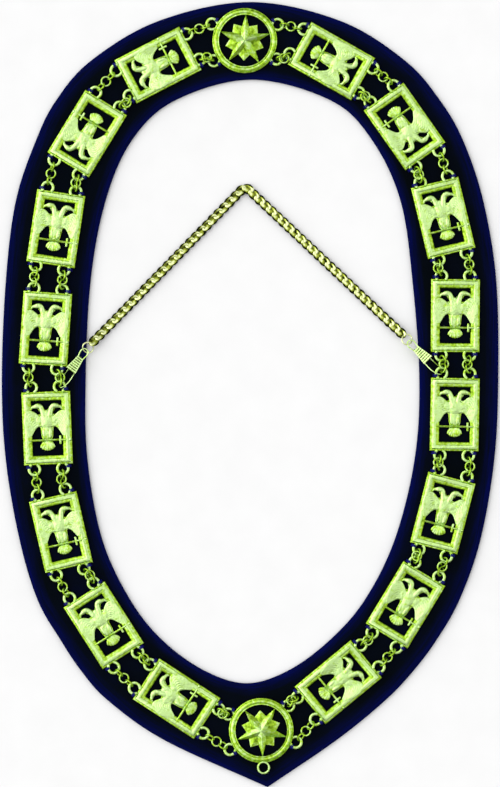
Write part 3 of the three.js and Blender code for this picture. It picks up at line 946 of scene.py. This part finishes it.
def chain_line():
    """The chain's middle line from the left end over the apex to the right end."""
    apex = Vector((*CHAIN_APEX, CHAIN_REST))
    arms = []
    for side in ("left", "right"):
        end = hook_eye(side) + on_table(END_RING["span"], HOOKS[side]["chain_heading"])
        arm = Vector((*end, CHAIN_REST)) - apex
        foot = apex + arm.normalized() * (arm.length - CLIMB_RUN)
        bend = apex + arm.normalized() * APEX_ROUND
        arms.append([Vector((*end, CLIMB_TOP)), foot, bend])
    turn = []
    for i in range(1, TURN_STEPS):
        t = i / TURN_STEPS
        turn.append(arms[0][-1] * (1 - t) ** 2 + apex * 2 * t * (1 - t) + arms[1][-1] * t**2)
    return [*arms[0], *turn, *reversed(arms[1])]


def link_pattern():
    """One curb link: an oval ring twisted about its long way, its top and back ground flat."""
    piece = start(
        "curb_link",
        bpy.ops.mesh.primitive_torus_add,
        major_radius=1,
        minor_radius=LINK_WIRE / 2,
        major_segments=LINK_FACES[0],
        minor_segments=LINK_FACES[1],
    )

    def oval(corner):
        angle = math.atan2(corner.y, corner.x)
        outward = math.hypot(corner.x, corner.y) - 1
        facing = Vector((LINK_HALF[1] * math.cos(angle), LINK_HALF[0] * math.sin(angle))).normalized()
        x = LINK_HALF[0] * math.cos(angle) + outward * facing.x
        y = LINK_HALF[1] * math.sin(angle) + outward * facing.y
        return Vector((x, y, corner.z))

    def ground(corner):
        return Vector((corner.x, corner.y, max(-LINK_GROUND, min(corner.z, LINK_GROUND))))

    move_corners(piece, oval)
    shut()
    twist = math.radians(LINK_TWIST)
    apply_modifier(piece, "SIMPLE_DEFORM", deform_method="TWIST", deform_axis="X", angle=twist)
    reopen(piece)
    move_corners(piece, ground)
    shut()
    smooth(piece, 80)
    # Painted shade: deep on the link's underside and towards its sides, with a painted highlight on its
    # top
    worn(piece, *LINK_WEAR_AND_SHADE, least=DEEPEST_SHADE)
    return piece


def curb_chain():
    line = chain_line()
    length = sum((b - a).length for a, b in zip(line, line[1:]))
    count = round(length / LINK_PITCH)
    spots = evenly(line, 2 * count)
    places = []
    for i in range(count):
        before, at, after = spots[2 * i : 2 * i + 3]
        way = (after - before).normalized()
        across = Vector((0, 0, 1)).cross(way).normalized()
        up = way.cross(across)
        place = Matrix((way, across, up)).transposed().to_4x4()
        place.translation = at
        places.append(place)
    links = stamp("curb_links", link_pattern(), places)
    half = (END_RING["span"] + END_RING["bite"]) / 2
    half_width = (END_RING["width"] - END_RING["wire"]) / 2
    oval = ring("chain_end", 1, END_RING["wire"], *END_RING["faces"])
    reopen(oval)

    def stretch(corner):
        reach = math.hypot(corner.x, corner.y)
        x, y = corner.x / reach, corner.y / reach
        return Vector((x * (half + reach - 1), y * (half_width + reach - 1), corner.z))

    move_corners(oval, stretch)
    shut()
    worn(oval, *END_RING_WEAR_AND_SHADING)
    at_ends = []
    for side, hook in HOOKS.items():
        middle = hook_eye(side) + on_table(END_RING["span"] - half, hook["chain_heading"])
        at_ends.append(laid(*middle, EYE_HEIGHT, hook["chain_heading"]) @ turned(END_RING["tilt"], "X"))
    return join("curb_chain_links", [links, stamp("end_rings", oval, at_ends)])


def ribbed_sleeve():
    """The sleeve from its narrow end along +Y: a wedge, lines and rails along it, and ribs."""
    length = SLEEVE["to"] - SLEEVE["from"]
    low, high = RIB_PROUD, SLEEVE["thick"] - RIB_PROUD

    def half(share):
        return (SLEEVE["narrow"] + share * (SLEEVE["wide"] - SLEEVE["narrow"])) / 2 - RIB_PROUD

    def wedge(corner):
        share = corner.y + 0.5
        height = low + (corner.z + 0.5) * (high - low)
        return Vector((2 * corner.x * half(share), share * length, height))

    def lengthways(across, height):
        return [(across * half(share), share * length, height) for share in LINE_SHARES]

    core = start("sleeve_core", bpy.ops.mesh.primitive_cube_add, size=1)
    move_corners(core, wedge)
    bpy.ops.mesh.bevel(offset=SLEEVE_BEVEL, segments=2, affect="EDGES")
    shut()
    # The core shows only between the ribs: it is deep all over as painted shade
    deep_all_over(core)
    pieces = [core]
    for across in SLEEVE_LINES:
        pieces.append(wire("line", lengthways(across, SLEEVE["thick"]), LINE_WIRE, 1))
        deep_all_over(pieces[-1])
    for side in (-1, 1):
        pieces.append(wire("rail", lengthways(side, SLEEVE["thick"] - RAIL_WIRE / 2), RAIL_WIRE))
        worn(pieces[-1], -SLEEVE["thick"], SLEEVE["thick"])
    for i in range(SLEEVE_RIBS):
        share = (i + 0.5) / SLEEVE_RIBS
        rib = start("rib", bpy.ops.mesh.primitive_cube_add, size=1)
        bpy.ops.transform.resize(value=(2 * (half(share) + RIB_PROUD), RIB_WIDE, SLEEVE["thick"]))
        bpy.ops.mesh.bevel(offset=RIB_BEVEL, segments=2, affect="EDGES")
        bpy.ops.transform.translate(value=(0, share * length, SLEEVE["thick"] / 2))
        shut()
        worn(rib, -SLEEVE["thick"], SLEEVE["thick"])
        pieces.append(rib)
    return join("sleeve", pieces)


def chain_hook(side):
    """A hook from the tip of its wire eye at the origin along +Y: eye, ribbed sleeve, sprung wire."""
    tilt = math.degrees(math.atan2(HOOKS[side]["rise"], SLEEVE["to"] - SLEEVE["from"]))
    sleeve = ribbed_sleeve()
    sleeve.data.transform(Matrix.Translation((0, SLEEVE["from"], SLEEVE["low"])) @ turned(tilt, "X"))
    climb = (BAIL[0][1] - SLEEVE["from"]) * math.tan(math.radians(tilt))
    root = SLEEVE["low"] + SLEEVE["thick"] / 2 + climb
    sprung = [Vector((OUTWARD[side] * x, y, root if z is None else z)) for x, y, z in BAIL]
    bail = wire("bail", smooth_line(sprung)[::WIRE_STRIDE], BAIL_WIRE)
    round_eye = [Vector((x, y, EYE_HEIGHT)) for x, y in EYE]
    eye = wire("eye", smooth_line(round_eye)[::WIRE_STRIDE], EYE_WIRE)
    for piece in (bail, eye):
        worn(piece, *HOOK_WEAR_AND_SHADING)
    return join(f"sprung_hook_{side}", [sleeve, bail, eye])


# Stitches


def stitch_pattern():
    """Strands of thread side by side over a wire that runs along +Y."""
    strands = []
    for i in range(STRANDS):
        y = (i - (STRANDS - 1) / 2) * STRAND_PITCH
        lean = STRAND_LEAN * math.sin(STRAND_SWING * i)
        arch = [(x, y + lean * x, z) for x, z in STRAND_ARCH]
        strands.append(wire("strand", arch, STRAND_WIRE, 1))
    return join("stitch", strands)


def stitch_places():
    """Over the outer leg of every loop, close to the casting."""
    places = []
    leg_x = LOOP_ACROSS + LOOP_RADIUS
    leg_y = PLAQUE_LENGTH / 2 + STITCH_OUT
    for unit in (*PLAQUES["left"], *PLAQUES["right"]):
        for x in (-leg_x, leg_x):
            for y in (-leg_y, leg_y):
                spot = on_unit(unit, x, y)
                places.append(laid(*spot, METAL_REST + LOOP_HEIGHT["plaque"], unit[2]))
    for medallion, loops in MEDALLION_LOOPS.items():
        for (_, edge), way in loops.items():
            away = (1 if edge == "outer" else -1) * math.copysign(1, medallion[1])
            leg = math.copysign(LOOP_RADIUS, away * math.cos(math.radians(way)))
            spot = on_table(MEDALLION_RADIUS + STITCH_OUT, way) + on_table(leg, way + 90)
            x, y = medallion[0] + spot.x, medallion[1] + spot.y
            places.append(laid(x, y, METAL_REST + LOOP_HEIGHT["medallion"], way - 90))
    return places


# Finishes


def finish(name, **sockets):
    """A new material with a Principled shader whose plain sockets are set."""
    material = bpy.data.materials.new(name)
    material.use_nodes = True
    shader = material.node_tree.nodes["Principled BSDF"]
    for socket, value in sockets.items():
        shader.inputs[socket.replace("_", " ")].default_value = value
    return material, shader


def link(source, target):
    source.id_data.links.new(source, target)


def node(tree, kind, **settings):
    """A shader node with settings; sockets are named with an underscore in front."""
    made = tree.nodes.new("ShaderNode" + kind)
    for name, value in settings.items():
        if name.startswith("_"):
            made.inputs[name[1:].replace("_", " ")].default_value = value
        else:
            setattr(made, name, value)
    return made


def ramp(tree, source, stops):
    """A colour ramp over a value, from (position, colour) stops."""
    made = node(tree, "ValToRGB")
    while len(made.color_ramp.elements) < len(stops):
        made.color_ramp.elements.new(0.5)
    for element, (position, colour) in zip(made.color_ramp.elements, stops):
        element.position = position
        element.color = (*colour, 1)
    link(source, made.inputs["Fac"])
    return made.outputs["Color"]


def grey_ramp(tree, source, stops):
    """A ramp of greys over a value, from (position, level) stops."""
    return ramp(tree, source, [(position, (level,) * 3) for position, level in stops])


def polish_and_shading_group():
    """How pale the gilding is, from its raised parts and a cloudy polish, its grain and its dents; the
    raised parts carry wear together with painted highlight and shade.
    """
    tree = bpy.data.node_groups.new("cast polish", "ShaderNodeTree")
    for name in POLISH_SIZES:
        tree.interface.new_socket(name, in_out="INPUT", socket_type="NodeSocketFloat")
    for name in ("Rubbed and shaded", "Grain", "Dents"):
        tree.interface.new_socket(name, in_out="OUTPUT", socket_type="NodeSocketFloat")
    given = tree.nodes.new("NodeGroupInput")
    out = tree.nodes.new("NodeGroupOutput")
    coordinates = node(tree, "TexCoord")
    cloud = node(tree, "TexNoise", _Detail=4, _Roughness=0.6)
    grain = node(tree, "TexNoise", _Detail=3, _Roughness=0.7)
    dents = node(tree, "TexNoise", _Detail=2, _Roughness=0.5)
    for texture, size in zip((cloud, grain, dents), POLISH_SIZES):
        link(coordinates.outputs["Object"], texture.inputs["Vector"])
        link(given.outputs[size], texture.inputs["Scale"])
    raised = node(tree, "Attribute", attribute_name="worn")
    share = node(tree, "Math", operation="MULTIPLY_ADD")
    share.inputs[1].default_value = RAISED_SHARE
    share.inputs[2].default_value = RAISED_BASE
    link(raised.outputs["Fac"], share.inputs[0])
    rubbed_and_shaded = node(tree, "Math", operation="MULTIPLY_ADD", use_clamp=True)
    rubbed_and_shaded.inputs[1].default_value = CLOUD_SHARE
    link(cloud.outputs["Fac"], rubbed_and_shaded.inputs[0])
    link(share.outputs["Value"], rubbed_and_shaded.inputs[2])
    link(rubbed_and_shaded.outputs["Value"], out.inputs["Rubbed and shaded"])
    link(grain.outputs["Fac"], out.inputs["Grain"])
    link(dents.outputs["Fac"], out.inputs["Dents"])
    return tree


def metal(name, polish_and_shading, deep, plain, pale, roughness, dents):
    """A gilt metal: deep in the hollows and pale on the tops, partly wear and partly painted shade and
    highlight, with cast grain.
    """
    material, shader = finish(name, Metallic=1.0)
    tree = material.node_tree
    wear_and_shading = node(tree, "Group")
    wear_and_shading.node_tree = polish_and_shading
    for size, value in POLISH_SIZES.items():
        wear_and_shading.inputs[size].default_value = value
    colour = ramp(tree, wear_and_shading.outputs["Rubbed and shaded"], list(zip(GILT_STOPS, (deep, plain, pale))))
    link(colour, shader.inputs["Base Color"])
    gloss = node(tree, "MapRange", _To_Min=roughness[0], _To_Max=roughness[1])
    link(wear_and_shading.outputs["Grain"], gloss.inputs["Value"])
    link(gloss.outputs["Result"], shader.inputs["Roughness"])
    uneven = node(tree, "Bump", _Strength=dents, _Distance=DENT_DEPTH)
    link(wear_and_shading.outputs["Dents"], uneven.inputs["Height"])
    bump = node(tree, "Bump", _Strength=GRAIN_STRENGTH, _Distance=GRAIN_DEPTH)
    link(wear_and_shading.outputs["Grain"], bump.inputs["Height"])
    link(uneven.outputs["Normal"], bump.inputs["Normal"])
    link(bump.outputs["Normal"], shader.inputs["Normal"])
    return material


def velvet():
    """Near-black pile with a painted sheen: deep blue streaks towards the band's edges."""
    material, shader = finish(
        "navy velvet",
        Roughness=0.9,
        Specular_IOR_Level=0.0,
        Sheen_Weight=0.02,
        Sheen_Roughness=0.35,
        Sheen_Tint=(0.12, 0.2, 0.9, 1),
    )
    tree = material.node_tree
    coordinates = node(tree, "TexCoord")
    nap = node(tree, "TexNoise", _Scale=22, _Detail=5, _Roughness=0.55)
    pile = node(tree, "TexNoise", _Scale=3200, _Detail=2)
    for texture in (nap, pile):
        link(coordinates.outputs["Object"], texture.inputs["Vector"])
    along = node(tree, "Mapping", _Scale=(60, 90, 1))
    streak = node(tree, "TexNoise", _Scale=1, _Detail=3)
    link(coordinates.outputs["UV"], along.inputs["Vector"])
    link(along.outputs["Vector"], streak.inputs["Vector"])
    across = node(tree, "SeparateXYZ")
    link(coordinates.outputs["UV"], across.inputs["Vector"])
    # Painted sheen: blue towards both edges of the band, broken into streaks along it
    edge = grey_ramp(tree, across.outputs["Y"], EDGE_SHEEN)
    strength = node(tree, "Math", operation="MULTIPLY")
    link(edge, strength.inputs[0])
    streaky_sheen = grey_ramp(tree, streak.outputs["Fac"], SHEEN_STREAKS)
    link(streaky_sheen, strength.inputs[1])
    plain = ramp(tree, nap.outputs["Fac"], PILE_COLOURS)
    blue = node(tree, "Mix", data_type="RGBA")
    blue.inputs["B"].default_value = SHEEN_BLUE
    link(strength.outputs["Value"], blue.inputs["Factor"])
    link(plain, blue.inputs["A"])
    link(blue.outputs["Result"], shader.inputs["Base Color"])
    bump = node(tree, "Bump", _Strength=0.6, _Distance=0.0004)
    link(pile.outputs["Fac"], bump.inputs["Height"])
    link(bump.outputs["Normal"], shader.inputs["Normal"])
    return material


def thread():
    """Deep blue sewing thread with a twist."""
    material, shader = finish("blue thread", Roughness=0.6, Specular_IOR_Level=0.2)
    tree = material.node_tree
    coordinates = node(tree, "TexCoord")
    ply = node(tree, "TexWave", _Scale=900, _Distortion=2)
    link(coordinates.outputs["Object"], ply.inputs["Vector"])
    colour = ramp(tree, ply.outputs["Fac"], THREAD_COLOURS)
    link(colour, shader.inputs["Base Color"])
    return material


# The collar


polish_and_shading = polish_and_shading_group()
GILT = metal(
    "pale gilt",
    polish_and_shading,
    deep=(0.05, 0.11, 0.001),
    plain=(0.36, 0.59, 0.035),
    pale=(0.52, 0.74, 0.28),
    **CAST_FINISH,
)
# Its near-black deep colour is the painted shade on the links' sides and undersides
CHAIN_GILT = metal(
    "chain gilt",
    polish_and_shading,
    deep=(0.003, 0.005, 0.001),
    plain=(0.36, 0.42, 0.045),
    pale=(0.74, 0.8, 0.42),
    **WIRE_FINISH,
)
# Its deep colour gives the painted shade between the sleeve's ribs and in the hollows of the wires
HOOK_GILT = metal(
    "hook gilt",
    polish_and_shading,
    deep=(0.01, 0.02, 0.001),
    plain=(0.48, 0.72, 0.12),
    pale=(0.72, 0.97, 0.4),
    **WIRE_FINISH,
)
VELVET = velvet()
THREAD = thread()


def keep(piece, material, slot, *nodes):
    """Brings a finished piece to metres, dresses it, hangs it on the root body, and hides the solids
    that it stands for.
    """
    piece.data.transform(sized(MM, MM, MM))
    piece.data.materials.clear()
    piece.data.materials.append(material)
    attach(piece, "root")
    if nodes:
        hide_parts(*nodes)
    return piece


band = keep(velvet_band(), VELVET, "velvet", "velvet_band")

patterns = {reach: eagle_plaque(out) for reach, out in LOOP_OUT.items()}
for side, units in PLAQUES.items():
    for place, (x, y, turn, heads) in enumerate(units, 1):
        pattern = patterns["near" if place < FAR_LOOPS_FROM else "far"]
        spot = laid(x, y, METAL_REST, turn if heads == "back" else turn + 180)
        plaque = copy_of(pattern, f"plaque_{side}_{place}", spot)
        keep(plaque, GILT, "gilt", f"eagle_plaque_{side}_{place}")
for pattern in patterns.values():
    bpy.data.objects.remove(pattern)

for end, unit in (("back", BACK_MEDALLION), ("front", FRONT_MEDALLION)):
    medallion = star_medallion(f"medallion_{end}", unit, end == "front")
    x, y, turn = unit
    medallion.data.transform(laid(x, y, METAL_REST, turn))
    keep(medallion, GILT, "gilt", f"star_medallion_{end}")

top_ring = ring("top_ring", RING_RADIUS, RING_WIRE, *RING_FACES)
worn(top_ring, *RING_WEAR_AND_SHADING["top"])
end_ring = ring("end_ring", RING_RADIUS, RING_WIRE, *RING_FACES)
worn(end_ring, *RING_WEAR_AND_SHADING["end"])
count = 0
for side in ("left", "right"):
    for edge in ("outer", "inner"):
        for number, pair in enumerate(loop_pairs(side, edge), 1):
            count += 1
            name = f"rings_{side}_{number}_{edge}"
            on_top, *at_ends = ring_places(*pair, count)
            ends = stamp(name, end_ring, at_ends, keep=True)
            rings = join(name, [copy_of(top_ring, name, on_top), ends])
            keep(rings, GILT, "gilt", f"ring_run_{side}_{number}_{edge}")
bpy.data.objects.remove(top_ring)
bpy.data.objects.remove(end_ring)

keep(curb_chain(), CHAIN_GILT, "chain_gilt", "curb_chain")

for side, hook in HOOKS.items():
    eye = hook_eye(side)
    piece = chain_hook(side)
    piece.data.transform(laid(eye.x, eye.y, 0, hook["heading"] - 90))
    keep(piece, HOOK_GILT, "gilt", f"chain_hook_{side}")

stitches = stamp("thread_stitches", stitch_pattern(), stitch_places())
keep(stitches, THREAD, "velvet")

# Table, light and camera


def table_top():
    deselect()
    bpy.ops.mesh.primitive_plane_add(size=TABLE_SIZE)
    table = bpy.context.active_object
    table.name = "table_top"
    material, shader = finish("white table", Roughness=0.85, Specular_IOR_Level=0.2)
    tree = material.node_tree
    coordinates = node(tree, "TexCoord")
    speckle = node(tree, "TexNoise", _Scale=40, _Detail=2)
    link(coordinates.outputs["Object"], speckle.inputs["Vector"])
    colour = grey_ramp(tree, speckle.outputs["Fac"], TABLE_SHADES)
    link(colour, shader.inputs["Base Color"])
    table.data.materials.append(material)


def studio_light():
    world = bpy.data.worlds.new("studio")
    bpy.context.scene.world = world
    world.use_nodes = True
    tree = world.node_tree
    direction = node(tree, "TexCoord")
    total = node(tree, "VectorMath", operation="ADD")
    for place, (way, levels) in enumerate(((LIGHT_FROM, SKY), (FILL_FROM, FILL))):
        towards = node(tree, "VectorMath", operation="DOT_PRODUCT")
        towards.inputs[1].default_value = Vector(way).normalized()
        link(direction.outputs["Generated"], towards.inputs[0])
        spread = node(tree, "MapRange", _From_Min=-1, _From_Max=1)
        link(towards.outputs["Value"], spread.inputs["Value"])
        stops = [((cosine + 1) / 2, level) for cosine, level in levels]
        glow = grey_ramp(tree, spread.outputs["Result"], stops)
        link(glow, total.inputs[place])
    link(total.outputs["Vector"], tree.nodes["Background"].inputs["Color"])
    tree.nodes["Background"].inputs["Strength"].default_value = SKY_STRENGTH


def camera():
    lens = bpy.data.cameras.new("camera")
    lens.lens = LENS
    lens.sensor_width = SENSOR
    lens.clip_end = FAR_CLIP
    holder = bpy.data.objects.new("camera", lens)
    distance = VIEW_HEIGHT * LENS / SENSOR
    holder.location = (*VIEW_MIDDLE, METAL_REST * MM + distance)
    bpy.context.collection.objects.link(holder)
    bpy.context.scene.camera = holder


table_top()
studio_light()
camera()
bpy.context.scene.view_settings.view_transform = "Standard"
